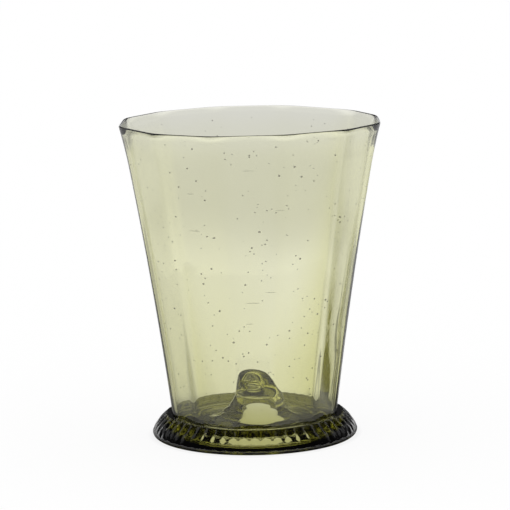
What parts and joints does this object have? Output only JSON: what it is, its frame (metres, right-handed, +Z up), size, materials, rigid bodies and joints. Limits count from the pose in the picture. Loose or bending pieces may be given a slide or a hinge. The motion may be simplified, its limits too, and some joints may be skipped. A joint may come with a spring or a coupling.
{
  "type": "footed drinking glass",
  "caption": "Blown green glass beaker with a panelled, tapering bowl and a pushed-up base, standing on a ribbed glass ring.",
  "frame": {"origin": "centre of the bounding box's base, on the surface that the foot ring rests on", "axes": "+Z up along the glass, -Y towards the side seen in front, +X to the right of that side"},
  "size_m": [0.0976, 0.0976, 0.1202],
  "materials": {
    "bowl_glass": "fire-polished blown glass, pale olive green, with small bubbles and a few dark specks",
    "foot_glass": "thick tooled glass of the same green, nearly black where light crosses its full width",
    "scar_glass": "broken glass surface, unpolished"
  },
  "bodies": {
    "root": {"bowl": "bowl_glass", "foot_ring": "foot_glass", "pontil_scar": "scar_glass"}
  },
  "joints": []
}
